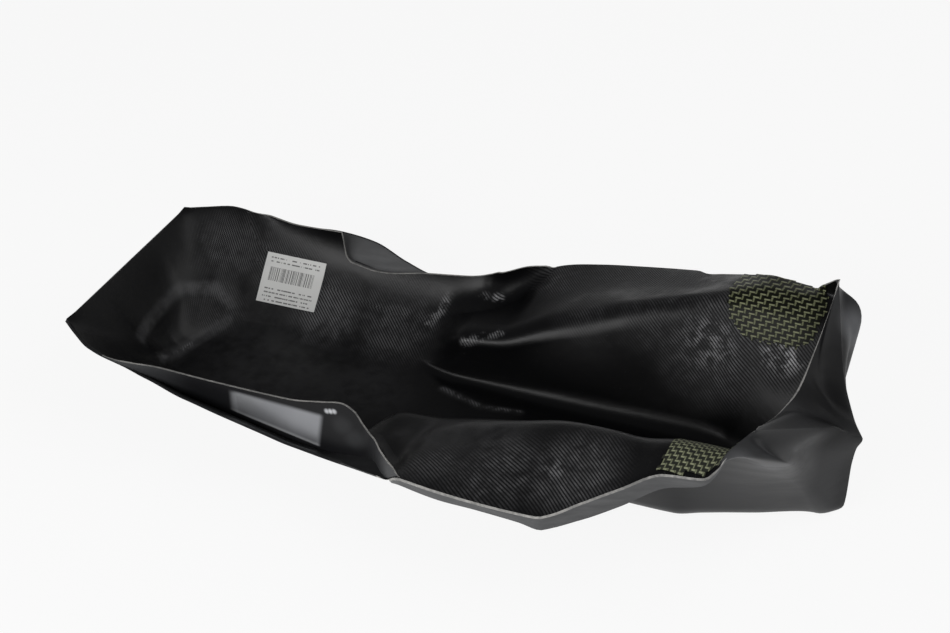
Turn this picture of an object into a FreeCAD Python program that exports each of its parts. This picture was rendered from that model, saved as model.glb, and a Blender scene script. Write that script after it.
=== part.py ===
import FreeCAD, Part
import os

# Driving dimensions in millimetres, measured from the middle of the tail rim
skin = 2.2              # thickness of the laminate
rounding = {"floor": 18.0, "flank": 26.0, "crest": 22.0}
bend_steps = 3          # flats in each rounded corner
evening_passes = 3      # rounds of evening out the direction in which the skin is thickened
straight_share = 0.4    # most of a section's side that its rounding may take
skirt_inset = 0.8       # step between the edge of a wing and the skirt below it
patch_skin = 1.2        # height of a patch's face above the laminate, with the film below it
label_skin = 0.8        # height of the label's face above the laminate, with the film below it
seat_gap = 0.3          # film of resin or glue below a patch or the label
root_share = 0.4        # how deep walls and skirts are rooted in the hull, against its skin
label_size = (66.0, 54.0)
label_middle = (129.0, 109.0, 42.5)
label_along = (0.99, 0.12, -0.07)
label_down = (0.10, -0.66, -0.74)
label_reach = 30.0      # depth of the space in which the label finds the hull
patch_middle = (655.0, 135.0, 122.0)
patch_sight = (0.0, 0.8, -0.6)
patch_reach = 105.0     # depth of the space in which a patch finds the hull
patch_front = 45.0      # part of that depth in front of the patch's middle
near_patch_share = 0.64  # width of the near patch against the far one
near_patch_ahead = 13.0

# Lines along the hull, each a list of (station, x, half width, height).
# Stations follow x up to the shoulders, then turn round the prow and back to the front rim.
keel = [
    (0, 0, 0, 101), (25, 24, 0, 52), (45, 44, 0, 10), (60, 60, 0, 0), (110, 110, 0, 0), (644, 644, 0, 0),
    (680, 695, 0, 0), (710, 746, 0, 0), (722, 765, 0, 12), (735, 769, 0, 62), (750, 772, 0, 80),
    (770, 777, 0, 93), (790, 745, 0, 113), (815, 714, 0, 133),
]
floor_edge = [
    (0, 0, 40, 101), (25, 25, 36, 52), (45, 48, 24, 10), (60, 62, 36, 1), (85, 86, 58, 0), (110, 110, 66, 0),
    (170, 170, 70, 0), (230, 230, 70, 0), (345, 345, 66, 0), (570, 570, 65, 0), (620, 620, 64, 0),
    (644, 644, 53, 0), (680, 690, 32, 0), (710, 740, 8, 0), (722, 755, 9, 12), (735, 759, 12, 64),
    (750, 765, 11, 85), (770, 767, 10, 100), (790, 742, 10, 114), (815, 714, 14, 134),
]
flank = [
    (0, 0, 66, 101), (25, 28, 58, 58), (45, 50, 56, 36), (60, 58, 64, 32), (85, 84, 80, 20), (110, 110, 84, 17),
    (170, 170, 90, 16), (270, 270, 87, 11), (345, 345, 68, 27), (476, 476, 76, 45), (594, 594, 84, 46),
    (644, 645, 76, 55), (680, 690, 60, 52), (710, 732, 45, 60), (735, 740, 48, 88), (750, 739, 50, 108),
    (770, 757, 21, 115), (790, 732, 20, 121), (815, 714, 32, 138),
]
crest = [
    (0, 0, 92, 101), (25, 24, 94, 74), (45, 46, 102, 66), (85, 82, 114, 57), (110, 110, 118, 53),
    (170, 170, 125, 46), (270, 270, 120, 31), (300, 300, 112, 30), (335, 335, 74, 50), (345, 345, 68, 55),
    (387, 387, 69, 60), (431, 431, 80, 79), (476, 476, 90, 98), (529, 529, 98, 118), (573, 573, 109, 129),
    (612, 612, 119, 136), (644, 644, 121, 143), (680, 686, 124, 145), (710, 714, 134, 146), (735, 740, 130, 147),
    (750, 737, 106, 140), (770, 743, 45, 127), (790, 722, 46, 137), (815, 714, 70, 149),
]
edge = [
    (0, 0, 118, 101), (25, 20, 132, 99), (45, 44, 146, 97), (60, 60, 149, 94), (85, 85, 150, 89),
    (110, 110, 153, 84), (162, 162, 166, 81), (201, 201, 169, 75), (240, 240, 164, 62), (270, 270, 162, 54),
    (327, 327, 165, 50), (377, 377, 178, 57), (401, 401, 192, 75), (445, 445, 203, 81), (487, 487, 209, 85),
    (527, 527, 213, 89), (545, 545, 214, 91), (555, 555, 209, 93), (578, 578, 198, 104), (609, 609, 184, 119),
    (644, 644, 168, 134), (680, 679, 161, 135), (710, 693, 142, 154), (735, 704, 134, 166),
    (750, 709, 131, 171), (770, 712, 129.5, 173), (790, 713, 128, 174), (815, 714, 127, 175),
]

# Wall that stands on the hull at the rear, each entry (station, half width, height of its rim)
wall = [
    (60, 148, 96.5), (82, 149, 94), (122, 144, 93), (169, 146, 94), (264, 148, 97), (300, 149, 104),
    (322, 150, 109), (335, 150, 103), (345, 150, 88), (353, 153, 82), (372, 172, 82), (387, 184, 80),
    (401, 192, 78),
]

# Skirt that hangs from the edge of a wing, each entry (station, height of its lower edge)
skirt = [
    (372, 56), (387, 62), (401, 68), (445, 72), (487, 77), (527, 79), (545, 77), (578, 86), (609, 100),
    (644, 119), (680, 128), (710, 150),
]

# Lower edge of the cut-out in the far wall, each entry (x, height)
notch = [(171, 76), (174, 64), (183, 57), (200, 54), (214, 54), (270, 65), (346, 81), (362, 90)]

# Outline of a patch across its line of sight, each entry (x, rise) from the patch's middle
patch_outline = [
    (-56, 60), (-52, 10), (-44, -18), (-24, -36), (28, -36), (44, -26), (47, 0), (30, 16), (22, 34), (18, 60),
]

station_step = 15
bow_stations = [690, 700, 712, 722, 735, 750, 770, 785, 815]
stations = list(range(0, bow_stations[0], station_step)) + bow_stations


# Smooth curve through pairs of values that never overshoots them
def monotone(pairs):
    xs, ys = zip(*pairs)
    steps = [b - a for a, b in zip(xs, xs[1:])]
    slopes = [(b - a) / step for a, b, step in zip(ys, ys[1:], steps)]
    tangents = [slopes[0]]
    for (a, b), (before, after) in zip(zip(slopes, slopes[1:]), zip(steps, steps[1:])):
        first = 2 * after + before
        second = after + 2 * before
        tangents.append((first + second) / (first / a + second / b) if a * b > 0 else 0.0)
    tangents.append(slopes[-1])

    def value(x):
        i = max(k for k in range(len(steps)) if xs[k] <= x or k == 0)
        t = (x - xs[i]) / steps[i]
        start = (1 + 2 * t) * (1 - t) ** 2 * ys[i] + t * (1 - t) ** 2 * steps[i] * tangents[i]
        end = t * t * (3 - 2 * t) * ys[i + 1] + t * t * (t - 1) * steps[i] * tangents[i + 1]
        return start + end

    return value


# Line in space as a function of the station
def space_line(entries):
    axes = [monotone([(entry[0], entry[k]) for entry in entries]) for k in (1, 2, 3)]
    return lambda station: FreeCAD.Vector(*[axis(station) for axis in axes])


keel_at, floor_at, flank_at, crest_at, edge_at = [space_line(n) for n in (keel, floor_edge, flank, crest, edge)]
wall_half = monotone([entry[:2] for entry in wall])
wall_top = monotone([entry[::2] for entry in wall])
skirt_foot = monotone(skirt)


# Points across the hull at a station, from the near edge to the far edge, with rounded corners
def hull_row(station):
    corners = [line(station) for line in (keel_at, floor_at, flank_at, crest_at, edge_at)]
    half = [corners[0]]
    for before, corner, after, size in zip(corners, corners[1:], corners[2:], rounding.values()):
        sides = [before - corner, after - corner]
        start, end = [corner + side * min(straight_share, size / max(side.Length, size)) for side in sides]
        for k in range(bend_steps + 1):
            t = k / bend_steps
            half.append(start * (1 - t) ** 2 + corner * (2 * t * (1 - t)) + end * t ** 2)
    half.append(corners[-1])
    return [FreeCAD.Vector(p.x, -p.y, p.z) for p in half[:0:-1]] + half


# Control points of the far rear wall at a station, from inside the hull's sheet to the rim
def wall_row(station):
    inner = crest_at(station)
    side = edge_at(station) - inner
    foot = inner + side * min(1.0, (wall_half(station) - inner.y) / side.y)
    return [foot + FreeCAD.Vector(0, 0, skin * root_share), FreeCAD.Vector(foot.x, foot.y, wall_top(station))]


# Control points of the far skirt at a station, from its lower edge to the wing's sheet
def skirt_row(station):
    rim = edge_at(station) - FreeCAD.Vector(0, skirt_inset, 0)
    return [FreeCAD.Vector(rim.x, rim.y, skirt_foot(station)), rim + FreeCAD.Vector(0, 0, skin * root_share)]


# Rows of a sheet at the stations that its list of entries covers
def rows_of(row, entries):
    return [row(station) for station in stations if entries[0][0] <= station <= entries[-1][0]]


# Unit vectors that point to the inside of the pan, one for each point, evened out over its neighbours
def inward(rows):
    last_row, last_point = len(rows) - 1, len(rows[0]) - 1
    normals = []
    for i, row in enumerate(rows):
        before, after = rows[max(i - 1, 0)], rows[min(i + 1, last_row)]
        normals.append([])
        for j in range(len(row)):
            along = after[j] - before[j]
            across = row[min(j + 1, last_point)] - row[max(j - 1, 0)]
            normals[i].append(along.cross(across).normalize())
    for _ in range(evening_passes):
        raw = normals
        normals = []
        for i in range(len(rows)):
            near_rows = raw[max(i - 1, 0):i + 2]
            normals.append([])
            for j in range(len(rows[0])):
                near = [normal for near_row in near_rows for normal in near_row[max(j - 1, 0):j + 2]]
                normals[i].append(sum(near, FreeCAD.Vector()).normalize())
    return normals


# Two flat facets between four points
def facets(a, b, c, d):
    return [Part.Face(Part.makePolygon([a, b, c, a])), Part.Face(Part.makePolygon([a, c, d, a]))]


# Solid sheet between two depths below the rows of points: two layers, two ends and two sides
def sheet(rows, lower, upper):
    layers = []
    for depth in (lower, upper):
        layers.append([[p + n * depth for p, n in zip(*pair)] for pair in zip(rows, inward(rows))])
    grids = list(layers)
    for k in (0, -1):
        grids.append([layer[k] for layer in layers])
        grids.append([[row[k] for row in layer] for layer in layers])
    faces = []
    for grid in grids:
        for first, second in zip(grid, grid[1:]):
            for j in range(len(first) - 1):
                faces += facets(first[j], first[j + 1], second[j + 1], second[j])
    shell = Part.Shell(faces)
    shell.sewShape()
    solid = Part.Solid(shell)
    if solid.Volume < 0:
        solid.reverse()
    return solid


def mirrored(shape):
    return shape.mirror(FreeCAD.Vector(0, 0, 0), FreeCAD.Vector(0, 1, 0))


# Prism over a closed outline of points
def prism(points, direction):
    return Part.Face(Part.makePolygon(points + points[:1])).extrude(direction)


# Space above the cut-out's lower edge in the far wall
def notch_space():
    points = [FreeCAD.Vector(x, 0, z) for x, z in notch]
    lower_edge = Part.BSplineCurve()
    lower_edge.interpolate(points)
    top = max(entry[2] for entry in wall) + skin
    lid = [points[-1], FreeCAD.Vector(points[-1].x, 0, top), FreeCAD.Vector(points[0].x, 0, top), points[0]]
    outline = Part.Wire([lower_edge.toShape()] + Part.makePolygon(lid).Edges)
    return Part.Face(outline).extrude(FreeCAD.Vector(0, 2 * max(entry[1] for entry in wall), 0))


# Moulded shell: hull, rear walls with the cut-out on the far side, and skirts
def pan_shell():
    hull = sheet(hull_rows, 0.0, skin)
    far_wall = sheet(rows_of(wall_row, wall), 0.0, skin)
    far_skirt = sheet(rows_of(skirt_row, skirt), 0.0, skin)
    added = [far_wall.cut(notch_space()), mirrored(far_wall), far_skirt, mirrored(far_skirt)]
    return hull.fuse(added).removeSplitter().Solids[0]


# Cloth patch laid on the inside of a shoulder, from the wing's edge down the wall; side is 1 or -1
def patch(side, share, ahead):
    sight = FreeCAD.Vector(patch_sight[0], side * patch_sight[1], patch_sight[2])
    rise = FreeCAD.Vector(side, 0, 0).cross(sight)
    x, y, z = patch_middle
    start = FreeCAD.Vector(x + ahead, side * y, z) - sight * patch_front
    points = [start + FreeCAD.Vector(forward * share, 0, 0) + rise * up for forward, up in patch_outline]
    cloth = sheet(hull_rows, skin + seat_gap, skin + patch_skin)
    return cloth.common(prism(points, sight * patch_reach)).Solids[0]


# Paper label stuck on the far side of the trough
def label():
    along = FreeCAD.Vector(*label_along).normalize()
    normal = along.cross(FreeCAD.Vector(*label_down)).normalize()
    down = normal.cross(along)
    width, height = label_size
    start = FreeCAD.Vector(*label_middle) - normal * (label_reach / 2)
    points = []
    for a, b in ((-1, -1), (1, -1), (1, 1), (-1, 1)):
        points.append(start + along * (a * width / 2) + down * (b * height / 2))
    paper = sheet(hull_rows, skin + seat_gap, skin + label_skin)
    return paper.common(prism(points, normal * label_reach)).Solids[0]


hull_rows = [hull_row(station) for station in stations]
nodes = {"pan_shell": pan_shell(), "far_patch": patch(1, 1.0, 0.0), "label": label()}
nodes["near_patch"] = patch(-1, near_patch_share, near_patch_ahead)
box = nodes["pan_shell"].optimalBoundingBox(False, False)
os.makedirs("parts", exist_ok=True)
for name, shape in nodes.items():
    print(name, shape.isValid(), shape.ShapeType, round(shape.Volume), len(shape.Faces))
    shape.translate(FreeCAD.Vector(-box.Center.x, 0, -box.ZMin))
    shape.exportStep("parts/" + name + ".step")
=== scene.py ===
import bpy, bmesh
import math
import numpy as np
from mathutils import Matrix, Vector
from mathutils.bvhtree import BVHTree


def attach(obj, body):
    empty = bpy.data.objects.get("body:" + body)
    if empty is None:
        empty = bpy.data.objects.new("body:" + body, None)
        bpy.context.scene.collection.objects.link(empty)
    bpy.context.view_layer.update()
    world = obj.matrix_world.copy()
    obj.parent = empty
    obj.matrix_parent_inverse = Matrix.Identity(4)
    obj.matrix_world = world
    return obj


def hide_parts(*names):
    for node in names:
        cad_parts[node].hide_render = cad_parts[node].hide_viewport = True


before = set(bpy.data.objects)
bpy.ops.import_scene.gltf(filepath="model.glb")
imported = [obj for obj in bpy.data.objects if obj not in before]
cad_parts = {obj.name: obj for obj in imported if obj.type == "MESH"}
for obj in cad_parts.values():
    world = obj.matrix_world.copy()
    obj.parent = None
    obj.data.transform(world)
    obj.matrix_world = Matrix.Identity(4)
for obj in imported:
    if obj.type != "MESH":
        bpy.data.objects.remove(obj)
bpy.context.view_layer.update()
mm = 0.001
tailToMiddle = 388.5    # tail rim to the middle of the pan, along the pan
sharpAngle = math.radians(50)    # edges that turn more than this stay crisp
print("frame loaded:", sorted(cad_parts))


# Shader sockets that take part in Python expressions
class Wire:
    def __init__(self, tree, socket=None):
        self.tree = tree
        self.socket = socket

    def node(self, kind, settings=None, sockets=None, out=0):
        made = self.tree.nodes.new(kind)
        for name, value in (settings or {}).items():
            setattr(made, name, value)
        for key, value in (sockets or {}).items():
            if isinstance(value, Wire):
                self.tree.links.new(value.socket, made.inputs[key])
            else:
                made.inputs[key].default_value = value
        return Wire(self.tree, made.outputs[out])

    def math(self, operation, *values):
        sockets = dict(enumerate(values))
        return self.node("ShaderNodeMath", {"operation": operation}, sockets)

    def __add__(self, other): return self.math("ADD", self, other)
    def __radd__(self, other): return self.math("ADD", other, self)
    def __sub__(self, other): return self.math("SUBTRACT", self, other)
    def __rsub__(self, other): return self.math("SUBTRACT", other, self)
    def __mul__(self, other): return self.math("MULTIPLY", self, other)
    def __rmul__(self, other): return self.math("MULTIPLY", other, self)
    def __truediv__(self, other): return self.math("DIVIDE", self, other)
    def __mod__(self, other): return self.math("FLOORED_MODULO", self, other)
    def __lt__(self, other): return self.math("LESS_THAN", self, other)
    def __gt__(self, other): return self.math("GREATER_THAN", self, other)

    def clip(self): return self.node("ShaderNodeClamp", None, {"Value": self})
    def floor(self): return self.math("FLOOR", self)
    def part(self): return self.math("FRACT", self)
    def within(self, low, high): return (self > low) * (self < high)

    # 0 below the first value, 1 above the second
    def ramp(self, low, high):
        return self.node("ShaderNodeMapRange", {"interpolation_type": "SMOOTHSTEP"},
                         {"Value": self, "From Min": low, "From Max": high})

    # The first colour at 0 and the second at 1, each a wire or three numbers
    def blend(self, first, second):
        ends = [end if isinstance(end, Wire) else (*end, 1) for end in (first, second)]
        sockets = {"Factor": self, 6: ends[0], 7: ends[1]}
        return self.node("ShaderNodeMix", {"data_type": "RGBA"}, sockets, 2)

    def noise(self, place, scale, detail=2.0, rough=0.5):
        sockets = {"Vector": place, "Scale": scale, "Detail": detail, "Roughness": rough}
        return self.node("ShaderNodeTexNoise", None, sockets, 0)


def newFinish(name, **constants):
    finish = bpy.data.materials.new(name)
    finish.use_nodes = True
    shader = finish.node_tree.nodes["Principled BSDF"]
    for key, value in constants.items():
        shader.inputs[key.replace("_", " ")].default_value = value
    return finish, shader, Wire(finish.node_tree)


def feed(wire, shader, name):
    wire.tree.links.new(wire.socket, shader.inputs[name])


def bumped(shader, height, strength, distance):
    sockets = {"Height": height, "Strength": strength, "Distance": distance}
    feed(height.node("ShaderNodeBump", None, sockets), shader, "Normal")


def spacePoint(wire):
    return wire.node("ShaderNodeTexCoord", None, None, 3)


# Place along and across the laminate in millimetres, and the point in space in metres
def surfacePlace(wire):
    flat = wire.node("ShaderNodeUVMap", {"uv_map": "weave"})
    along, across = [wire.node("ShaderNodeSeparateXYZ", None, {0: flat}, axis) for axis in range(2)]
    return along, across, spacePoint(wire)


# Rounded height of a tow across its width
def towHeight(place):
    share = place.part()
    return share * (1 - share) * 4


# 1 where the first tow lies over the second, two over and two under
def towOver(a, b):
    return ((a.floor() + b.floor()) % 4) < 2


# Cloth of crossing tows: which tow shows, and its rounded height
def twill(along, across, tow):
    a, b = along / tow, across / tow
    over = towOver(a, b)
    return over, over * towHeight(a) + (1 - over) * towHeight(b)


def vectorNode(wire, operation, first, second, out=0):
    return wire.node("ShaderNodeVectorMath", {"operation": operation}, {0: first, 1: second}, out)


spotCore = 0.2    # share of a spot's radius that has its full strength


# Soft spots on the part, each a point or a line of points from the tail rim, with its radius and strength
def spots(wire, point, marks):
    total = None
    for place, radius, level in marks:
        places = [moved(entry) for entry in (place if isinstance(place, list) else [place])]
        for start, end in zip(places, places[1:] or places):
            way = end - start
            nearest = tuple(start)
            if way.any():
                offset = vectorNode(wire, "SUBTRACT", point, nearest)
                share = vectorNode(wire, "DOT_PRODUCT", offset, tuple(way / (way @ way)), 1)
                step = wire.node("ShaderNodeCombineXYZ", None, {axis: share.clip() for axis in range(3)})
                nearest = vectorNode(wire, "ADD", vectorNode(wire, "MULTIPLY", step, tuple(way)), nearest)
            far = vectorNode(wire, "DISTANCE", point, nearest, 1)
            spot = (1 - far.ramp(radius * spotCore * mm, radius * mm)) * level
            total = spot if total is None else wire.math("MAXIMUM", total, spot)
    return total


insideLook = {
    "black": (0.0028, 0.0028, 0.0032), "grey": (0.17, 0.17, 0.175), "shine": (0.75, 0.75, 0.77),
    "tow": 0.95, "weaveDepth": 0.0002, "weaveBump": 0.75, "roughness": 0.32, "coat": 0.14,
    "broadScale": 14.0, "fineScale": 90.0, "speckScale": 420.0, "paintedSheenLevel": 0.09, "speckLevel": 0.10,
    # Spots of painted light: weave drawn brighter where the lamps light the shoulders, the wings and the tail
    # pocket
    "paintedLitWeave": [
        ((606, 96, 92), 80, 0.75), ((672, 92, 104), 52, 0.9), ((545, 122, 108), 70, 0.45),
        ((470, 130, 92), 65, 0.4),
        ((487, -175, 95), 66, 0.65), ((560, -165, 108), 66, 0.75), ((425, -165, 74), 42, 0.5),
        ((255, 105, 25), 70, 0.5),
        ((180, 100, 24), 55, 0.6), ((55, 108, 72), 60, 0.4), ((62, 60, 30), 45, 0.35),
        ((110, 120, 62), 60, 0.3),
        ((492, 188, 91), 75, 0.7), ((556, 185, 105), 75, 0.7), ((420, 170, 78), 50, 0.5),
        ((620, 160, 125), 60, 0.6)],
    "glints": [
        ((341, 140, 53), 13, 0.9), ((355, 140, 56), 10, 0.7), ((678, 92, 98), 22, 0.9),
        ((662, 94, 98), 18, 0.6),
        ((598, 98, 92), 36, 0.35), ([(350, 68, 48), (385, 78, 60)], 8, 0.35),
        ([(306, 145, 52), (290, 111, 30)], 10, 0.3),
        ([(336, 41, 2), (384, 27, 2), (423, 33, 2)], 5, 0.2),
        ([(54, -41, 21), (54, -3, 7), (61, 25, 4)], 4, 0.2),
        ([(610, 122, 127), (650, 128, 130)], 7, 0.6), ((540, -165, 104), 16, 0.2)],
    # Soft painted light: the rear floor and the near wing drawn paler, and painted highlights along the
    # creases
    "paintedSheen": [
        ((150, 20, 2), 130, 1.0), ((250, 10, 2), 90, 0.8), ([(380, -110, 62), (470, -120, 92)], 40, 0.8),
        ([(37, -47, 46), (29, -11, 46), (29, 25, 49), (32, 45, 50), (58, 71, 41), (73, 71, 25)], 11, 1.9),
        ([(54, -41, 21), (54, -3, 7), (61, 25, 4), (75, 60, 10)], 11, 1.9),
        ([(336, 41, 2), (384, 27, 2), (423, 33, 2)], 8, 1.2)],
}


def insideFinish():
    look = insideLook
    finish, shader, wire = newFinish("insideTwill", Coat_Roughness=0.28, Coat_IOR=1.35, IOR=1.5,
                                     Specular_IOR_Level=0.2)
    along, across, point = surfacePlace(wire)
    over, cloth = twill(along, across, look["tow"])
    broad = wire.noise(point, look["broadScale"], 3.0)
    fine = wire.noise(point, look["fineScale"], 4.0, 0.6)
    speck = wire.noise(point, look["speckScale"], 1.0).ramp(0.72, 0.80) * look["speckLevel"]
    patchy = (broad * 0.6 + fine * 0.5).ramp(0.36, 0.68)
    paintedLitWeave = spots(wire, point, look["paintedLitWeave"]) * (0.35 + patchy * 0.9)    # painted light: weave drawn brighter where light falls, and the same mask makes the cloth rougher and less coated
    glint = spots(wire, point, look["glints"]) * fine.ramp(0.42, 0.60)
    # painted sheen: soft lighter tone on the rear floor, the near wing and along the creases
    paintedSheenTone = spots(wire, point, look["paintedSheen"]) * (0.25 + patchy * 1.2) * look["paintedSheenLevel"]
    tone = over * cloth * paintedLitWeave * (0.4 + fine * 1.3) + paintedSheenTone + speck
    colour = tone.clip().blend(look["black"], look["grey"])
    colour = (glint * (0.06 + over * cloth * 0.94)).clip().blend(colour, look["shine"])
    feed(colour, shader, "Base Color")
    feed(look["roughness"] + paintedLitWeave * 0.45 + glint * 0.1, shader, "Roughness")
    feed((look["coat"] - paintedLitWeave * 0.4).clip(), shader, "Coat Weight")
    relief = cloth * (0.2 + paintedLitWeave) + broad * 5.0 + fine * 1.6
    bumped(shader, relief, look["weaveBump"], look["weaveDepth"])
    return finish


outsideLook = {
    "grey": (0.020, 0.0204, 0.0215), "worn": (0.036, 0.0365, 0.038), "dark": (0.005, 0.005, 0.0055),
    "pale": (0.13, 0.133, 0.14), "roughness": 0.36, "bumpDepth": 0.0004,
    "broadScale": 9.0, "streakScale": (14.0, 60.0, 160.0), "grainScale": 700.0,
    "shade": [((730, 35, 134), 100, 1.0), ((752, -20, 114), 34, 0.8)],
    "paintedLight": [((738, 104, 138), 30, 0.9), ((700, -140, 140), 22, 0.5), ((722, -110, 120), 24, 0.35)],
}
# Painted light: a paler copy of the outside gel-coat, for the skirts, the far wall's outside and the far wing
# beyond the wall
litSatinLook = {**outsideLook, "grey": (0.090, 0.091, 0.093), "worn": (0.14, 0.141, 0.143)}


def outsideFinish(name, look):
    finish, shader, wire = newFinish(name, IOR=1.5, Specular_IOR_Level=0.18)
    point = spacePoint(wire)
    broad = wire.noise(point, look["broadScale"], 3.0)
    streak = wire.node("ShaderNodeMapping", None, {"Vector": point, "Scale": look["streakScale"]})
    rubbed = wire.noise(streak, 1.0, 4.0, 0.6)
    grain = wire.noise(point, look["grainScale"], 2.0)
    wear = (broad * 0.6 + rubbed * 0.5).ramp(0.45, 0.75)
    # painted shade darkens the foredeck; painted light pales three spots high on the bow
    shade = spots(wire, point, look["shade"])
    colour = (wear * 0.8).blend(look["grey"], look["worn"])
    colour = shade.clip().blend(colour, look["dark"])
    feed(spots(wire, point, look["paintedLight"]).blend(colour, look["pale"]), shader, "Base Color")
    feed(look["roughness"] + wear * 0.12 + grain * 0.06, shader, "Roughness")
    bumped(shader, broad * 3.0 + rubbed * 0.4 + grain * 0.12, 0.35, look["bumpDepth"])
    return finish


# Reaches along and across the wall in millimetres: where each begins and where it is full
recessLook = {
    "black": (0.008, 0.008, 0.009), "grey": (0.038, 0.039, 0.041), "bright": (0.27, 0.275, 0.29),
    "pale": (0.62, 0.63, 0.65), "broadScale": 22.0, "bumpDepth": 0.0006,
    "footAt": 203.4, "footSlope": 0.163, "endAt": 51.8, "endSlope": 0.176,
    "bandStart": (198.0, 211.0), "bandEnd": (290.0, 297.0), "bandTop": (86.0, 92.0), "bandFoot": (65.8, 67.6),
    "footLine": (67.6, 71.0), "litAlong": (205.0, 250.0), "litAcross": (66.0, 84.0),
    "greyTail": (100.0, 165.0), "greyFront": (340.0, 372.0),
    "glint": [((306, -150, 96), 4, 0.8), ((310, -150, 97), 4, 0.9), ((314, -150, 98), 4, 0.8)],
    "streak": [((322, -150, 84), 16, 0.5), ((334, -150, 72), 16, 0.5)],
}


# Painted reflection on the recess wall: a bright strip, a painted highlight line at its foot, painted glints,
# painted light streaks near the front end, and both ends a lighter grey than the black middle
def recessFinish():
    look = recessLook
    finish, shader, wire = newFinish("recessPaintedReflection", IOR=1.5, Specular_IOR_Level=0.15)
    along, across, point = surfacePlace(wire)
    broad = wire.noise(point, look["broadScale"], 3.0)
    lower = across + (along - look["footAt"]) * look["footSlope"] + (broad - 0.5) * 1.5
    side = along - (across - look["endAt"]) * look["endSlope"]
    # painted reflection: a bright strip across the middle of the wall
    reflectionBand = along.ramp(*look["bandStart"]) * (1 - side.ramp(*look["bandEnd"]))
    reflectionBand = reflectionBand * (1 - across.ramp(*look["bandTop"])) * lower.ramp(*look["bandFoot"])
    # painted highlight line along the foot of the strip
    foot = 1 - lower.ramp(*look["footLine"])
    lit = (1 - along.ramp(*look["litAlong"])) * across.ramp(*look["litAcross"]) * 0.5
    lit = lit + foot * 0.8 + (broad - 0.4) * 0.3
    # both ends lighter grey than the black middle
    greyEnds = (1 - along.ramp(*look["greyTail"])) + along.ramp(*look["greyFront"])
    glint = spots(wire, point, look["glint"])
    # painted light streaks near the front end
    streak = spots(wire, point, look["streak"])
    base = (greyEnds + streak).clip().blend(look["black"], look["grey"])
    shine = lit.clip().blend(look["bright"], look["pale"])
    colour = reflectionBand.blend(base, shine)
    feed(glint.clip().blend(colour, look["pale"]), shader, "Base Color")
    feed((reflectionBand + glint).clip() * 0.8, shader, "Metallic")
    feed(0.30 + broad * 0.2, shader, "Roughness")
    bumped(shader, broad, 0.3, look["bumpDepth"])
    return finish


edgeLook = {
    "pale": (0.42, 0.41, 0.39), "dark": (0.16, 0.16, 0.155),
    "fibreScale": 260.0, "patchScale": 30.0, "bumpDepth": 0.0004,
}


def edgeFinish():
    look = edgeLook
    finish, shader, wire = newFinish("cutEdge", IOR=1.45)
    point = spacePoint(wire)
    fibre = wire.noise(point, look["fibreScale"], 3.0, 0.6)
    patchy = wire.noise(point, look["patchScale"], 2.0)
    mix = (fibre * 0.6 + patchy * 0.5).ramp(0.35, 0.75)
    feed(mix.blend(look["pale"], look["dark"]), shader, "Base Color")
    feed(0.5 + fibre * 0.2, shader, "Roughness")
    bumped(shader, fibre, 0.5, look["bumpDepth"])
    return finish


clothLook = {
    "pale": (0.29, 0.305, 0.18), "olive": (0.020, 0.024, 0.005), "black": (0.003, 0.003, 0.003),
    "towAlong": 2.9, "towAcross": 2.05, "warpShare": 0.6,
    "broadScale": 40.0, "strandScale": 900.0, "bumpDepth": 0.0004,
}
# Painted light: the near patch is the same hybrid cloth drawn paler, as if more strongly lit
litNearClothLook = {
    **clothLook, "pale": (0.40, 0.42, 0.27), "olive": (0.075, 0.082, 0.045), "black": (0.022, 0.023, 0.021),
}


# Pale and black tows by turns both ways, each passing over two and under two
def clothFinish(name, look):
    finish, shader, wire = newFinish(name, Coat_Weight=0.05, Coat_Roughness=0.3, Specular_IOR_Level=0.12)
    along, across, point = surfacePlace(wire)
    broad = wire.noise(point, look["broadScale"], 3.0)
    strand = wire.noise(point, look["strandScale"], 2.0)
    a = along / look["towAlong"] + (strand - 0.5) * 0.3
    b = across / look["towAcross"] + (broad - 0.5) * 1.2
    over = towOver(a, b)
    weft = (b.floor() % 2) < 1
    warp = (a.floor() % 2) < 1
    roundA, roundB = towHeight(a), towHeight(b)
    dash = (1 - over) * weft * roundB.ramp(0.3, 0.8)
    dash = dash + over * warp * roundA.ramp(0.4, 0.9) * look["warpShare"]
    stitch = over * warp * roundA + weft * 0.25
    bright = (dash * (0.35 + broad * 0.9) * (0.7 + strand * 0.5)).clip()
    colour = (stitch + broad * 0.2).clip().blend(look["black"], look["olive"])
    feed(bright.blend(colour, look["pale"]), shader, "Base Color")
    feed(0.5 - dash * 0.1, shader, "Roughness")
    bumped(shader, dash + stitch * 0.6 + broad * 1.5, 0.7, look["bumpDepth"])
    return finish


# Plain shapes in millimetres from the label's corner: a field of bars, with rows of dashes above and below it
labelLook = {
    "paper": (0.63, 0.63, 0.615), "ink": (0.06, 0.06, 0.06), "wide": 66.0, "high": 54.0, "inkLevel": 0.85,
    "barSpan": (7.0, 56.0), "barRows": (15.0, 30.0), "barScale": 0.9, "barEdge": (0.50, 0.53),
    "rowSpan": (5.0, 60.0), "rowTop": 3.0, "rowGap": (10.0, 36.0), "rowPitch": 4.2, "rowShare": 0.34,
    "dashScale": 0.5, "dashShift": 7.3, "dashEdge": (0.44, 0.5),
    "grainScale": 500.0, "broadScale": 30.0, "roughness": 0.5, "bumpDepth": 0.0003,
}


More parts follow.
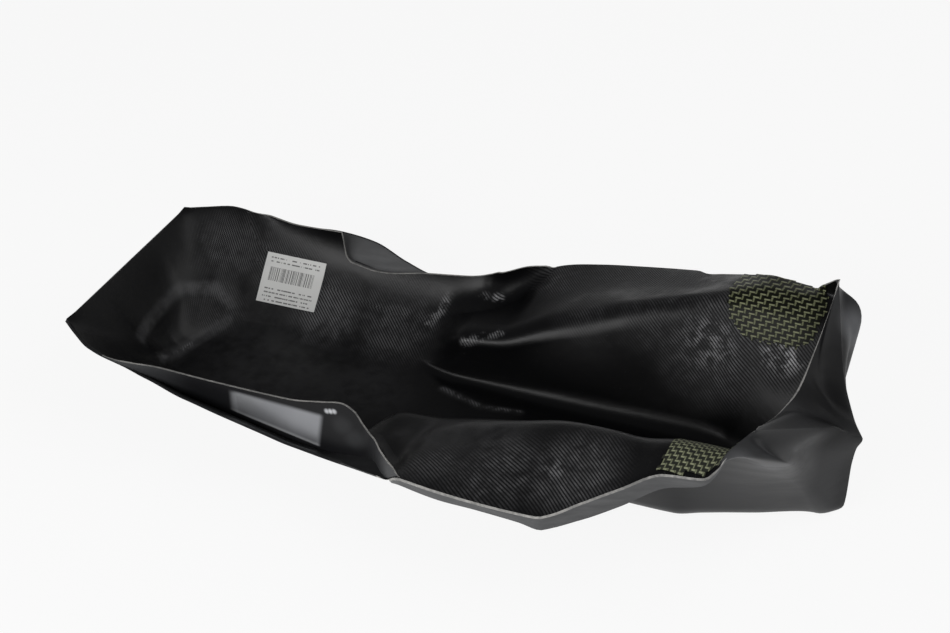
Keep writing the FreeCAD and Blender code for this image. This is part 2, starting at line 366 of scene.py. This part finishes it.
def labelFinish():
    look = labelLook
    finish, shader, wire = newFinish("labelPaper")
    along, across, point = surfacePlace(wire)
    grain = wire.noise(point, look["grainScale"], 2.0)
    broad = wire.noise(point, look["broadScale"], 2.0)
    barSockets = {"W": along, "Scale": look["barScale"], "Detail": 0.0}
    bars = wire.node("ShaderNodeTexNoise", {"noise_dimensions": "1D"}, barSockets).ramp(*look["barEdge"])
    bars = bars * across.within(*look["barRows"]) * along.within(*look["barSpan"])
    row = across / look["rowPitch"]
    gapStart, gapEnd = look["rowGap"]
    rows = (row.part() < look["rowShare"]) * (across > look["rowTop"]) * along.within(*look["rowSpan"])
    rows = rows * ((across < gapStart) + (across > gapEnd))
    dashPlace = {0: along * look["dashScale"], 1: row.floor() * look["dashShift"]}
    dashSockets = {"Vector": wire.node("ShaderNodeCombineXYZ", None, dashPlace), "Scale": 1.0, "Detail": 1.0}
    dashes = wire.node("ShaderNodeTexNoise", {"noise_dimensions": "2D"}, dashSockets).ramp(*look["dashEdge"])
    ink = ((bars + rows * dashes) * look["inkLevel"]).clip()
    stain = broad.ramp(0.5, 0.8) * 0.06
    feed((ink + stain).clip().blend(look["paper"], look["ink"]), shader, "Base Color")
    feed(look["roughness"] + grain * 0.15, shader, "Roughness")
    bumped(shader, grain * 0.2 + broad * 3.0, 0.4, look["bumpDepth"])
    return finish


# Lines along the hull in millimetres from the tail rim: (station, x, half width, height)
hullForm = {
    "skin": 2.2, "rounding": (18.0, 26.0, 22.0), "straightShare": 0.4, "bend": 7, "runs": (5, 6, 8, 12),
    "step": 4.0, "bowFrom": 700, "bowStep": 2.0, "thinning": (690, 735), "thinShare": 0.5,
    "wallZone": (60, 396), "wallLap": 1, "wallFloor": 20,
    "keel": [
        (0, 0, 0, 101), (25, 24, 0, 52), (45, 44, 0, 10), (60, 60, 0, 0), (110, 110, 0, 0), (644, 644, 0, 0),
        (680, 695, 0, 0), (710, 746, 0, 0), (722, 765, 0, 12), (735, 769, 0, 62), (750, 772, 0, 80),
        (770, 777, 0, 93), (790, 745, 0, 113), (815, 714, 0, 133)],
    "floorEdge": [
        (0, 0, 40, 101), (25, 25, 36, 52), (45, 48, 24, 10), (60, 62, 36, 1), (85, 86, 58, 0),
        (110, 110, 66, 0),
        (170, 170, 70, 0), (230, 230, 70, 0), (345, 345, 66, 0), (570, 570, 65, 0), (620, 620, 64, 0),
        (644, 644, 53, 0), (680, 690, 32, 0), (710, 740, 8, 0), (722, 755, 9, 12), (735, 759, 12, 64),
        (750, 765, 11, 85), (770, 767, 10, 100), (790, 742, 10, 114), (815, 714, 14, 134)],
    "flank": [
        (0, 0, 66, 101), (25, 28, 58, 58), (45, 50, 56, 36), (60, 58, 64, 32), (85, 84, 80, 20),
        (110, 110, 84, 17),
        (170, 170, 90, 16), (270, 270, 87, 11), (345, 345, 68, 27), (476, 476, 76, 45), (594, 594, 84, 46),
        (644, 645, 76, 55), (680, 690, 60, 52), (710, 732, 45, 60), (735, 740, 48, 88), (750, 739, 50, 108),
        (770, 757, 21, 115), (790, 732, 20, 121), (815, 714, 32, 138)],
    "crest": [
        (0, 0, 92, 101), (25, 24, 94, 74), (45, 46, 102, 66), (85, 82, 114, 57), (110, 110, 118, 53),
        (170, 170, 125, 46), (270, 270, 120, 31), (300, 300, 112, 30), (335, 335, 74, 50),
        (345, 345, 68, 55),
        (387, 387, 69, 60), (431, 431, 80, 79), (476, 476, 90, 98), (529, 529, 98, 118),
        (573, 573, 109, 129),
        (612, 612, 119, 136), (644, 644, 121, 143), (680, 686, 124, 145), (710, 714, 134, 146),
        (735, 740, 130, 147),
        (750, 737, 106, 140), (770, 743, 45, 127), (790, 722, 46, 137), (815, 714, 70, 149)],
    "edge": [
        (0, 0, 118, 101), (25, 20, 132, 99), (45, 44, 146, 97), (60, 60, 149, 94), (85, 85, 150, 89),
        (110, 110, 153, 84), (162, 162, 166, 81), (201, 201, 169, 75), (240, 240, 164, 62),
        (270, 270, 162, 54),
        (327, 327, 165, 50), (377, 377, 178, 57), (401, 401, 192, 75), (445, 445, 203, 81),
        (487, 487, 209, 85),
        (527, 527, 213, 89), (545, 545, 214, 91), (555, 555, 209, 93), (578, 578, 198, 104),
        (609, 609, 184, 119),
        (644, 644, 168, 134), (680, 679, 161, 135), (710, 693, 142, 154), (735, 704, 134, 166),
        (750, 709, 131, 171), (770, 712, 129.5, 173), (790, 713, 128, 174), (815, 714, 127, 175)],
    "skirt": [
        (372, 56), (387, 62), (401, 68), (445, 72), (487, 77), (527, 79), (545, 77), (578, 86), (609, 100),
        (644, 119), (680, 128), (710, 150)],
}


# Smooth curve through pairs of values that never overshoots them
def smoothLine(pairs):
    xs, ys = np.array(pairs, float).T
    steps = np.diff(xs)
    slopes = np.diff(ys) / steps
    tangents = np.zeros(len(xs))
    tangents[0], tangents[-1] = slopes[0], slopes[-1]
    for k in range(1, len(xs) - 1):
        a, b = slopes[k - 1], slopes[k]
        if a * b > 0:
            first, second = 2 * steps[k] + steps[k - 1], steps[k] + 2 * steps[k - 1]
            tangents[k] = (first + second) / (first / a + second / b)

    def value(x):
        k = int(np.clip(np.searchsorted(xs, x, side="right") - 1, 0, len(steps) - 1))
        t = (x - xs[k]) / steps[k]
        start = (1 + 2 * t) * (1 - t) ** 2 * ys[k] + t * (1 - t) ** 2 * steps[k] * tangents[k]
        return start + t * t * (3 - 2 * t) * ys[k + 1] + t * t * (t - 1) * steps[k] * tangents[k + 1]

    return value


def spaceLine(entries):
    axes = [smoothLine([(entry[0], entry[k]) for entry in entries]) for k in (1, 2, 3)]
    return lambda station: np.array([axis(station) for axis in axes])


hullLines = [spaceLine(hullForm[name]) for name in ("keel", "floorEdge", "flank", "crest", "edge")]
skirtFoot = smoothLine(hullForm["skirt"])


# Point at a share of the way from start to end, on a curve bent towards a corner
def bent(start, corner, end, t):
    return start * (1 - t) ** 2 + corner * 2 * t * (1 - t) + end * t * t


# Half a section from the keel to the edge, with rounded corners
def halfSection(station):
    corners = [line(station) for line in hullLines]
    share, bend = hullForm["straightShare"], hullForm["bend"]
    arcs = []
    for before, corner, after, size in zip(corners, corners[1:], corners[2:], hullForm["rounding"]):
        sides = [before - corner, after - corner]
        start, end = [corner + side * min(share, size / max(np.linalg.norm(side), size)) for side in sides]
        arcs.append([bent(start, corner, end, t) for t in np.linspace(0, 1, bend)])
    points = []
    here = corners[0]
    for run, arc in zip(hullForm["runs"], arcs + [[corners[-1]]]):
        points += [here + (arc[0] - here) * k / run for k in range(run)]
        if len(arc) > 1:
            points += arc[:-1]
        here = arc[-1]
    return np.array(points + [corners[-1]])


def stationList():
    first, last = hullForm["edge"][0][0], hullForm["edge"][-1][0]
    plain = np.arange(first, hullForm["bowFrom"], hullForm["step"])
    bow = np.arange(hullForm["bowFrom"], last, hullForm["bowStep"])
    return [*plain, *bow, float(last)]


def easeStep(value, low, high):
    t = np.clip((value - low) / (high - low), 0, 1)
    return t * t * (3 - 2 * t)


def moved(points):
    return (np.asarray(points, float) - (tailToMiddle, 0, 0)) * mm


# Unit vectors towards the inside of a grid of points, evened out over their neighbours
def insideWay(grid, rounds):
    along, across = np.gradient(grid, axis=0), np.gradient(grid, axis=1)
    normals = np.cross(along, across)
    for _ in range(rounds + 1):
        normals /= np.maximum(np.linalg.norm(normals, axis=2, keepdims=True), 1e-9)
        padded = np.pad(normals, ((1, 1), (1, 1), (0, 0)), mode="edge")
        size = normals.shape
        normals = sum(padded[a:a + size[0], b:b + size[1]] for a in range(3) for b in range(3))
    return normals / np.linalg.norm(normals, axis=2, keepdims=True)


# Ridges of the laminate, seen from inside: a line of points, its width and its height
creases = [
    {"line": [
        (306, 145, 52), (290, 111, 30), (277, 88, 15), (288, 69, 5), (336, 41, 2), (384, 27, 2),
        (423, 33, 2)],
     "wide": 7, "high": 2.6},
    {"line": [(37, -47, 46), (29, -11, 46), (29, 25, 49), (32, 45, 50), (58, 71, 41), (73, 71, 25)],
     "wide": 10, "high": 2.2},
    {"line": [(54, -41, 21), (54, -3, 7), (61, 25, 4)], "wide": 8, "high": 1.6},
    {"line": [(397, -108, 68), (427, -105, 80), (459, -114, 92)], "wide": 9, "high": 2.5},
    {"line": [(352, 67, 48), (396, 82, 65), (438, 104, 84), (459, 126, 90), (486, 126, 99)],
     "wide": 14, "high": 1.8},
    {"line": [(566, 118, 124), (594, 119, 128), (627, 117, 134)], "wide": 6, "high": 1.2},
    {"line": [(365, -119, 58), (407, -161, 76), (448, -184, 84)], "wide": 12, "high": 2.0},
]


def distanceTo(grid, line):
    best = np.full(grid.shape[:2], 1e9)
    points = np.array(line, float)
    for start, end in zip(points, points[1:]):
        way = end - start
        t = np.clip(((grid - start) @ way) / (way @ way), 0, 1)
        best = np.minimum(best, np.linalg.norm(grid - start - t[..., None] * way, axis=2))
    return best


skirtForm = {
    "from": 372.0, "fade": 388.0, "fadeOut": 698.0, "until": 722.0, "least": 0.4,
    "shares": (0.12, 0.4, 0.75, 1.0), "out": (-0.1, -0.9, -1.3, -1.5), "lipDrop": 1.8, "lipShare": 0.3,
}


# Points and surface places of the whole hull with its skirts, row by row from the near side to the far side
def hullGrid():
    stations = np.array(stationList())
    half = np.array([halfSection(s) for s in stations])
    steps = np.linalg.norm(np.diff(half, axis=1), axis=2)
    across = np.concatenate([np.zeros((len(stations), 1)), np.cumsum(steps, axis=1)], axis=1)
    guide = half[:, half.shape[1] // 2]
    along = np.concatenate([[0], np.cumsum(np.linalg.norm(np.diff(guide, axis=0), axis=1))])
    form = skirtForm
    fade = easeStep(stations, form["from"], form["fade"])
    fade = fade * (1 - easeStep(stations, form["fadeOut"], form["until"]))
    foot = np.array([skirtFoot(s) for s in stations])
    drop = np.clip(half[:, -1, 2] - foot, 0, None) * fade
    skirts, places = [], []
    for share, out in zip(form["shares"], form["out"]):
        fall = drop * share
        if share == form["shares"][0]:
            fall = np.minimum(form["lipDrop"], drop * form["lipShare"])
        column = half[:, -1].copy()
        column[:, 1] += out
        column[:, 2] -= fall
        skirts.append(column)
        places.append(across[:, -1] + fall)
    farHalf = np.concatenate([half, np.stack(skirts, axis=1)], axis=1)
    farPlace = np.concatenate([across, np.stack(places, axis=1)], axis=1)
    grid = np.concatenate([farHalf[:, :0:-1] * (1, -1, 1), farHalf], axis=1)
    place = np.concatenate([-farPlace[:, :0:-1], farPlace], axis=1)
    return stations, grid, place, along, drop > form["least"], len(skirts)


outsideSlot, insideSlot, rimSlot, litSatinSlot = range(4)


# True for a point of the wing that lies outside a rear wall
def outsideWall(station, point):
    first, last = hullForm["wallZone"]
    beyond = abs(point[1]) > wallHalf(station) - hullForm["wallLap"]
    return first <= station <= last and beyond and point[2] > hullForm["wallFloor"]


def hullMesh():
    stations, grid, place, along, hasSkirt, skirtSteps = hullGrid()
    normals = insideWay(grid, 2)
    for crease in creases:
        lift = crease["high"] * np.exp(-(distanceTo(grid, crease["line"]) / crease["wide"]) ** 2)
        grid = grid + normals * lift[..., None]
    depth = hullForm["skin"] * (1 - hullForm["thinShare"] * easeStep(stations, *hullForm["thinning"]))
    layers = [grid, grid + normals * depth[:, None, None]]
    rows, columns = grid.shape[:2]
    form = bmesh.new()
    weave = form.loops.layers.uv.new("weave")
    verts = {}
    used = {}

    def vert(layer, i, j):
        if (layer, i, j) not in verts:
            verts[layer, i, j] = form.verts.new(moved(layers[layer][i, j]))
        return verts[layer, i, j]

    def face(keys, slot):
        made = form.faces.new([vert(*key) for key in keys])
        made.smooth = True
        made.material_index = slot
        for loop, (layer, i, j) in zip(made.loops, keys):
            loop[weave].uv = (along[i], place[i, j])

    for i in range(rows - 1):
        for j in range(columns - 1):
            step = max(skirtSteps - j, j + 2 - columns + skirtSteps)    # 1 for the lip, more below it
            if step > 0 and not (hasSkirt[i] and hasSkirt[i + 1]):
                continue
            around = [(i, j), (i, j + 1), (i + 1, j + 1), (i + 1, j)]
            middle = np.mean([grid[key] for key in around], axis=0)
            slot = insideSlot
            if step == 1 or i == rows - 2:
                slot = rimSlot
            elif step > 1:
                slot = litSatinSlot
            elif outsideWall(stations[i], middle):
                # the far side takes the paler, painted-light copy, the near side the plain outside
                slot = litSatinSlot if middle[1] > 0 else outsideSlot
            face([(0, *key) for key in around], rimSlot if i == rows - 2 else outsideSlot)
            face([(1, *key) for key in around[::-1]], slot)
            for first, second in zip(around, around[1:] + around[:1]):
                key = tuple(sorted((first, second)))
                used[key] = (first, second) if key not in used else None
    for pair in filter(None, used.values()):
        first, second = pair
        plain = max(stations[first[0]], stations[second[0]]) < skirtForm["from"]
        face([(0, *second), (0, *first), (1, *first), (1, *second)], outsideSlot if plain else rimSlot)
    bmesh.ops.recalc_face_normals(form, faces=form.faces[:])
    return form


# Rear wall on the hull: (station, half width, height of its rim), and the far cut-out's (x, height)
wallForm = {
    "wall": [
        (60, 148, 96.5), (82, 149, 94), (122, 144, 93), (169, 146, 94), (264, 148, 97), (300, 149, 104),
        (322, 150, 109), (335, 150, 103), (345, 150, 88), (353, 153, 82), (372, 172, 82), (387, 184, 80),
        (401, 192, 78)],
    "notch": [
        (177, 80), (180, 71), (186, 65), (194, 62), (206, 60.5), (222, 60), (270, 67), (346, 81), (362, 90)],
    "steps": 14, "reach": 46.0, "sunk": 0.25, "fadeIn": 28.0, "fadeOut": 10.0, "least": 4.0,
    "step": 3.0, "notchFrom": 168.0, "notchRun": 3.0, "fineSteps": 26, "rootShare": 0.75, "samples": 401,
    "toe": 0.3, "thinRim": 0.3, "weaveFrom": 140,
}
wallHalf = smoothLine([entry[:2] for entry in wallForm["wall"]])
wallTop = smoothLine([entry[::2] for entry in wallForm["wall"]])
notchTop = smoothLine(wallForm["notch"])


# Closed section of the wall at a station: upright outside, rim, and an inside that sweeps out of the hull
def wallSection(station, cut):
    flank, crest, edge = [line(station) for line in hullLines[2:]]
    lean = edge - crest
    foot = crest + lean * min(1.0, (wallHalf(station) - crest[1]) / lean[1])
    top = wallTop(station)
    if cut and wallForm["notchFrom"] <= station <= wallForm["notch"][-1][0]:
        start, height = wallForm["notch"][0]
        low = notchTop(station)
        if station <= start:
            low = height + (start - station) / wallForm["notchRun"] * (top - height)
        top = min(top, low)
    top = max(top, foot[2] + wallForm["least"])
    back = np.linalg.norm(foot - crest)
    reach = wallForm["reach"]
    if reach < back:
        root = foot + (crest - foot) * reach / max(back, 1e-6)
        way = lean
    else:
        side = flank - crest
        root = crest + side * min(wallForm["rootShare"], (reach - back) / np.linalg.norm(side))
        way = -side
    inward = np.array([0, -way[2], way[1]]) / math.hypot(way[1], way[2])
    skin, sunk, steps = hullForm["skin"], wallForm["sunk"], wallForm["steps"]
    whole = max(wallTop(station), foot[2] + wallForm["least"])
    rimEnd = np.array([foot[0], foot[1] - skin, whole])
    ends = [rimEnd, foot + (0, -skin, skin / 2), root + inward * (skin - sunk)]
    curve = lambda t: bent(*ends, t)
    samples = np.linspace(0, 1, wallForm["samples"])
    begin = np.interp(-top, [-curve(t)[2] for t in samples], samples) if top < whole else 0.0
    low, high = foot + inward * (skin - sunk), root + inward * (skin - sunk)
    first, last = wallForm["wall"][0][0], wallForm["wall"][-1][0]
    grown = easeStep(station, first, first + wallForm["fadeIn"])
    grown = grown * (1 - easeStep(station, last - wallForm["fadeOut"], last))
    inner = []
    for t in np.linspace(begin, 1, 2 * steps + 1):
        flat = low + (high - low) * t
        inner.append(flat + (curve(t) - flat) * grown)
    thin = wallForm["thinRim"]
    start, end = foot + (0, 0, wallForm["toe"]), inner[0] + (0, skin * (thin + (1 - thin) * grown), 0)
    points = [start + (end - start) * k / steps for k in range(steps + 1)] + inner
    points.append(root + inward * sunk)
    return np.array(points)


def wallMesh(side, cut):
    form = bmesh.new()
    weave = form.loops.layers.uv.new("weave")
    steps = wallForm["steps"]
    first, last = wallForm["wall"][0][0], wallForm["wall"][-1][0]
    plain = {float(station) for station in np.arange(first, last, wallForm["step"])}
    fine = {wallForm["notchFrom"] + k for k in range(wallForm["fineSteps"])}
    places = sorted(plain | fine | {float(last)})
    sections = [wallSection(station, cut) for station in places]
    count = len(sections[0])
    rows = [[form.verts.new(moved(point * (1, side, 1))) for point in section] for section in sections]
    for i in range(len(rows) - 1):
        for j in range(count):
            around = [(i, j), (i, (j + 1) % count), (i + 1, (j + 1) % count), (i + 1, j)]
            made = form.faces.new([rows[a][b] for a, b in around])
            made.smooth = True
            made.material_index = outsideSlot if j < steps else rimSlot if j == steps else insideSlot
            for loop, (a, b) in zip(made.loops, around):
                height = sections[a][b][2]
                if j >= steps:
                    sides = np.diff(sections[a][b:-1], axis=0)
                    length = np.linalg.norm(sides, axis=1).sum() if b > steps else 0
                    height = side * (wallForm["weaveFrom"] + length)
                loop[weave].uv = (places[a], height)
    for row in (rows[0], rows[-1]):
        form.faces.new(row)
    bmesh.ops.recalc_face_normals(form, faces=form.faces[:])
    return form


def joinPiece(name, form, finishes):
    mesh = bpy.data.meshes.new(name)
    form.to_mesh(mesh)
    form.free()
    piece = bpy.data.objects.new(name, mesh)
    bpy.context.scene.collection.objects.link(piece)
    for finish in finishes:
        mesh.materials.append(finish)
    return piece


# Gives a sheet its thickness, towards the inside, and keeps its rims crisp
def thicken(piece, thickness):
    solid = piece.modifiers.new("thickness", "SOLIDIFY")
    solid.thickness = thickness * mm
    solid.offset = -1.0
    graph = bpy.context.evaluated_depsgraph_get()
    whole = bpy.data.meshes.new_from_object(piece.evaluated_get(graph))
    piece.modifiers.clear()
    old = piece.data
    piece.data = whole
    bpy.data.meshes.remove(old)
    whole.name = piece.name
    whole.set_sharp_from_angle(angle=sharpAngle)
    return piece


inside, recess, rim = insideFinish(), recessFinish(), edgeFinish()
outside, litSatin = outsideFinish("outsideSatin", outsideLook), outsideFinish("litLipSatin", litSatinLook)
farCloth, litNearCloth = clothFinish("hybridCloth", clothLook), clothFinish("litNearCloth", litNearClothLook)
paper = labelFinish()
print("finishes made")

hull = joinPiece("hull_skin", hullMesh(), [outside, inside, rim, litSatin])
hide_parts("pan_shell")
for name, side, cut, face in (("near_wall", -1, False, recess), ("far_wall", 1, True, litSatin)):
    joinPiece(name, wallMesh(side, cut), [face, inside, rim])
for piece in (hull, bpy.data.objects["near_wall"], bpy.data.objects["far_wall"]):
    piece.data.set_sharp_from_angle(angle=sharpAngle)
    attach(piece, "root")
print("shell made:", len(hull.data.polygons), "faces")


# Patches of hybrid cloth and the label, laid on the inside of the hull
patchForm = {
    "middle": (655.0, 135.0, 122.0), "sight": (0.0, 0.8, -0.6), "up": (0.0, 0.6, 0.8), "back": 45.0,
    "lift": 0.9, "skin": 0.5, "cell": 2.0, "spans": ((-60, 60), (-60, 62)),
    "waverAlong": (1.2, 0.9), "waverUp": (1.0, 0.7),
    "outline": [(-56, 60), (-52, 10), (-44, -18), (-24, -36), (28, -36), (44, -26), (50, 5), (40, 60)],
    "nearShare": 0.68, "nearAhead": 18.0, "nearStretch": (1.7, 1.7),
}
labelForm = {
    "middle": (129.0, 109.0, 42.5), "along": (0.99, 0.12, -0.07), "down": (0.10, -0.66, -0.74), "back": 15.0,
    "lift": 0.7, "skin": 0.4, "cell": 1.5,
}
dropReach = 0.16      # farthest that a sheet drops on to the hull, in metres
stretchLimit = 5      # longest reach of a square of a sheet, in cells


def surfaceOf(*pieces):
    points, faces = [], []
    for piece in pieces:
        shift = len(points)
        points += [vert.co.copy() for vert in piece.data.vertices]
        faces += [[corner + shift for corner in face.vertices] for face in piece.data.polygons]
    return BVHTree.FromPolygons(points, faces)


# Sheet of small squares dropped along a direction on to the hull, kept where the test says so
def laidSheet(name, place, spans, sizes, keep, finish, stretch=(1, 1)):
    start, right, up, sight = place
    cell, lift = sizes["cell"], sizes["lift"]
    form = bmesh.new()
    weave = form.loops.layers.uv.new("weave")
    grid = {}
    across, rise = [np.arange(low, high + cell / 2, cell) for low, high in spans]
    for i, a in enumerate(across):
        for j, b in enumerate(rise):
            if not keep(a, b):
                continue
            hit, normal = tree.ray_cast(start + right * a * mm + up * b * mm, sight, dropReach)[:2]
            if hit is None:
                continue
            if normal.dot(sight) > 0:
                normal = -normal
            grid[i, j] = (form.verts.new(hit + normal * lift * mm), (a * stretch[0], b * stretch[1]))
    for i in range(len(across) - 1):
        for j in range(len(rise) - 1):
            keys = [(i, j), (i + 1, j), (i + 1, j + 1), (i, j + 1)]
            if all(key in grid for key in keys):
                corners = [grid[key][0].co for key in keys]
                if max((p - q).length for p in corners for q in corners) > cell * stretchLimit * mm:
                    continue
                face = form.faces.new([grid[key][0] for key in keys])
                face.smooth = True
                for loop, key in zip(face.loops, keys):
                    loop[weave].uv = grid[key][1]
    bmesh.ops.delete(form, geom=[vert for vert in form.verts if not vert.link_faces], context="VERTS")
    bmesh.ops.recalc_face_normals(form, faces=form.faces[:])
    form.normal_update()
    total = sum((face.normal for face in form.faces), Vector())
    if total.dot(sight) > 0:
        bmesh.ops.reverse_faces(form, faces=form.faces[:])
    return thicken(joinPiece(name, form, [finish]), sizes["skin"])


def insideOutline(outline, a, b):
    odd = False
    for (x0, y0), (x1, y1) in zip(outline, outline[1:] + outline[:1]):
        if (y0 > b) != (y1 > b) and a < x0 + (b - y0) / (y1 - y0) * (x1 - x0):
            odd = not odd
    return odd


def layPatch(name, side, share, ahead, stretch, cloth):
    sizes = patchForm
    sight, up = [Vector((way[0], side * way[1], way[2])) for way in (sizes["sight"], sizes["up"])]
    sight.normalize()
    x, y, z = sizes["middle"]
    start = Vector(moved((x + ahead, side * y, z))) - sight * sizes["back"] * mm
    outline = [(a * share, b) for a, b in sizes["outline"]]
    (swayA, pitchA), (swayB, pitchB) = sizes["waverAlong"], sizes["waverUp"]

    def keep(a, b):
        return insideOutline(outline, a + swayA * math.sin(b * pitchA), b + swayB * math.sin(a * pitchB))

    place = (start, Vector((1, 0, 0)), up, sight)
    piece = laidSheet(name + "_cloth", place, sizes["spans"], sizes, keep, cloth, stretch)
    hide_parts(name)
    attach(piece, "root")


def layLabel():
    sizes, wide, high = labelForm, labelLook["wide"], labelLook["high"]
    right = Vector(sizes["along"]).normalized()
    sight = right.cross(Vector(sizes["down"])).normalized()
    down = sight.cross(right)
    middle = Vector(moved(sizes["middle"])) - sight * sizes["back"] * mm
    corner = middle - right * (wide / 2) * mm - down * (high / 2) * mm
    place = (corner, right, down, sight)
    label = laidSheet("label_paper", place, ((0, wide), (0, high)), sizes, lambda a, b: True, paper)
    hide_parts("label")
    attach(label, "root")


tree = surfaceOf(hull, bpy.data.objects["near_wall"], bpy.data.objects["far_wall"])
layPatch("far_patch", 1, 1.0, 0.0, (1, 1), farCloth)
nearPlace = [patchForm[key] for key in ("nearShare", "nearAhead", "nearStretch")]
layPatch("near_patch", -1, *nearPlace, litNearCloth)
layLabel()
print("patches and label laid")

# Camera, lamps and stage
cameraView = {
    "eye": (735.9, -1601.2, 1301.9), "right": (0.9151, 0.4027, -0.0215),
    "forward": (-0.3463, 0.7573, -0.5537),
    "focalPixels": 2200.0, "imageWide": 950.0, "sensor": 36.0, "clip": (0.05, 50),
}


def makeCamera():
    lens = bpy.data.cameras.new("camera")
    lens.sensor_width = cameraView["sensor"]
    lens.lens = cameraView["sensor"] * cameraView["focalPixels"] / cameraView["imageWide"]
    camera = bpy.data.objects.new("camera", lens)
    bpy.context.scene.collection.objects.link(camera)
    right = Vector(cameraView["right"]).normalized()
    back = -Vector(cameraView["forward"]).normalized()
    up = back.cross(right).normalized()
    right = up.cross(back)
    turn = Matrix((right, up, back)).transposed().to_4x4()
    camera.matrix_world = Matrix.Translation(Vector(cameraView["eye"]) * mm) @ turn
    lens.clip_start, lens.clip_end = cameraView["clip"]
    bpy.context.scene.camera = camera


lampPlan = {
    "key": {"at": (-0.6, -1.9, 0.85), "aim": (0.1, 0.05, 0.05), "wide": 2.0, "high": 1.0, "watts": 30.0},
    "side": {"at": (1.9, 0.4, 1.6), "aim": (0.1, 0.0, 0.05), "wide": 2.2, "high": 2.2, "watts": 22.0},
}


def makeLamps():
    for name, plan in lampPlan.items():
        lamp = bpy.data.lights.new(name, "AREA")
        lamp.shape = "RECTANGLE"
        lamp.size, lamp.size_y, lamp.energy = plan["wide"], plan["high"], plan["watts"]
        holder = bpy.data.objects.new(name, lamp)
        bpy.context.scene.collection.objects.link(holder)
        holder.location = plan["at"]
        holder.rotation_euler = (Vector(plan["aim"]) - Vector(plan["at"])).to_track_quat("-Z", "Y").to_euler()


worldLook = {"low": (0.32, 0.32, 0.32), "high": (0.14, 0.14, 0.143), "rise": (-0.05, 0.5)}


def makeWorld():
    world = bpy.data.worlds.new("studio")
    world.use_nodes = True
    bpy.context.scene.world = world
    background = world.node_tree.nodes["Background"]
    wire = Wire(world.node_tree)
    way = wire.node("ShaderNodeTexCoord", None, None, 0)
    height = wire.node("ShaderNodeSeparateXYZ", None, {0: way}, 2)
    tone = height.ramp(*worldLook["rise"]).blend(worldLook["low"], worldLook["high"])
    feed(tone, background, "Color")


floorLook = {
    "tone": (0.86, 0.86, 0.86, 1), "roughness": 0.9, "specular": 0.1, "glow": 0.9,
    "half": 7.0, "below": 0.0006,
    "rays": ("Is Camera Ray", "Is Glossy Ray", "Is Transmission Ray"),
}


def makeFloor():
    look = floorLook
    form = bmesh.new()
    bmesh.ops.create_grid(form, x_segments=4, y_segments=4, size=look["half"])
    floorFinish, shader, wire = newFinish("paleFloor", Base_Color=look["tone"], Roughness=look["roughness"],
                                          Specular_IOR_Level=look["specular"])
    straight, glossy, through = [wire.node("ShaderNodeLightPath", None, None, ray) for ray in look["rays"]]
    seen = (straight + glossy + through).clip() * look["glow"]
    glow = wire.node("ShaderNodeEmission", None, {"Color": (1, 1, 1, 1), "Strength": 1.0})
    body = Wire(wire.tree, shader.outputs[0])
    mix = wire.node("ShaderNodeMixShader", None, {0: seen, 1: body, 2: glow})
    feed(mix, floorFinish.node_tree.nodes["Material Output"], "Surface")
    floor = joinPiece("floor", form, [floorFinish])
    floor.location.z = -look["below"]


makeCamera()
makeLamps()
makeWorld()
makeFloor()
bpy.context.scene.view_settings.view_transform = "Standard"
print("camera, lamps and floor ready")
